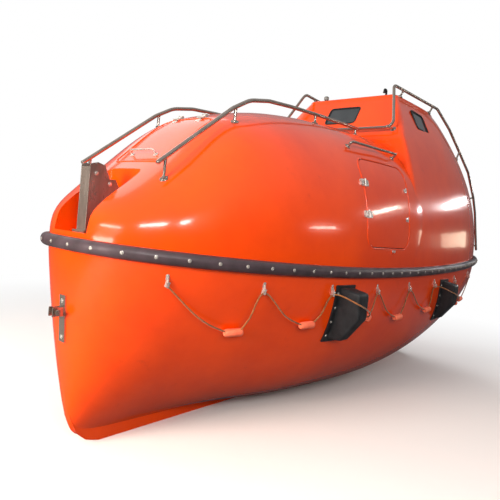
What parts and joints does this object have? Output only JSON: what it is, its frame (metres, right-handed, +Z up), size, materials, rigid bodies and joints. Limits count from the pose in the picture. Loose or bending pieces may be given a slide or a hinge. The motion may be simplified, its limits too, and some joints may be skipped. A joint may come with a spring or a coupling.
{
  "type": "enclosed lifeboat",
  "caption": "Totally enclosed davit-launched lifeboat: moulded hull and canopy with steering tower, doors, hatches, release hooks, grab rails and steering nozzle.",
  "frame": {"origin": "amidships on the centreline, on the light waterline", "axes": "+X forward, +Y port, +Z up"},
  "size_m": [6.3166, 2.5726, 3.337],
  "materials": {
    "gelcoat": "glossy orange gelcoat on glass-fibre plastic",
    "stainless": "polished stainless steel",
    "rail_rubber": "dark grey-brown rubber section",
    "black_rubber": "black moulded rubber",
    "glass": "tinted safety glass",
    "rope": "laid synthetic rope with foam floats",
    "lamp_lens": "clear moulded lens",
    "black_paint": "black epoxy paint",
    "bronze": "cast bronze",
    "engine_paint": "grey enamel"
  },
  "bodies": {
    "boat": {"hull_shell": "gelcoat", "canopy_shell": "gelcoat", "window_front": "glass", "window_port": "glass", "window_starboard": "glass", "engine": "engine_paint", "rub_rail_port": "rail_rubber", "rub_rail_starboard": "rail_rubber", "long_rail_port": "stainless", "long_rail_starboard": "stainless", "door_rail_port": "stainless", "door_rail_starboard": "stainless", "tower_rail": "stainless", "pad_port_fore": "black_rubber", "pad_port_aft": "black_rubber", "pad_starboard_fore": "black_rubber", "pad_starboard_aft": "black_rubber", "lifeline_port": "rope", "lifeline_starboard": "rope", "bow_hook_frame": "stainless", "stern_hook_frame": "stainless", "painter_bracket": "stainless", "roof_light": "lamp_lens", "vent_pipe": "black_paint"},
    "door_port": {"side_door_port": "gelcoat"},
    "door_starboard": {"side_door_starboard": "gelcoat"},
    "hatch_bow": {"bow_hatch": "gelcoat"},
    "hatch_aft": {"aft_hatch": "gelcoat"},
    "hatch_roof": {"roof_hatch": "gelcoat"},
    "hook_bow": {"bow_hook": "stainless"},
    "hook_stern": {"stern_hook": "stainless"},
    "pin_painter": {"painter_pin": "stainless"},
    "screw": {"propeller": "bronze"},
    "nozzle": {"steering_nozzle": "black_paint"}
  },
  "joints": [
    {"name": "door_port_hinge", "type": "hinge", "parent": "boat", "child": "door_port", "pos_m": [0.9735, 1.00015, 1.51707], "axis": [0, 0.2629, -0.9648], "range_deg": [0, 110]},
    {"name": "door_starboard_hinge", "type": "hinge", "parent": "boat", "child": "door_starboard", "pos_m": [0.9735, -1.07246, 1.25174], "axis": [0, 0.2629, 0.9648], "range_deg": [0, 110]},
    {"name": "bow_hatch_hinge", "type": "hinge", "parent": "boat", "child": "hatch_bow", "pos_m": [2.14465, 0, 1.85016], "axis": [0, -1, 0], "range_deg": [0, 100]},
    {"name": "aft_hatch_hinge", "type": "hinge", "parent": "boat", "child": "hatch_aft", "pos_m": [-1.90576, 0, 2.38017], "axis": [0, 1, 0], "range_deg": [0, 100]},
    {"name": "roof_hatch_hinge", "type": "hinge", "parent": "boat", "child": "hatch_roof", "pos_m": [-1.1635, 0, 2.668], "axis": [0, -1, 0], "range_deg": [0, 100]},
    {"name": "bow_hook_pivot", "type": "hinge", "parent": "boat", "child": "hook_bow", "pos_m": [2.835, 0, 1.1704], "axis": [0, -1, 0], "range_deg": [0, 45]},
    {"name": "stern_hook_pivot", "type": "hinge", "parent": "boat", "child": "hook_stern", "pos_m": [-2.775, 0, 1.2904], "axis": [0, 1, 0], "range_deg": [0, 45]},
    {"name": "painter_pin_slide", "type": "slide", "parent": "boat", "child": "pin_painter", "axis": [0, 1, 0], "range_m": [0, 0.04]},
    {"name": "propeller_spin", "type": "hinge", "parent": "boat", "child": "screw", "pos_m": [-2.26, 0, -0.27], "axis": [1, 0, 0], "continuous": true},
    {"name": "nozzle_turn", "type": "hinge", "parent": "boat", "child": "nozzle", "pos_m": [-2.26, 0, -0.27], "axis": [0, 0, 1], "range_deg": [-30, 30]}
  ]
}
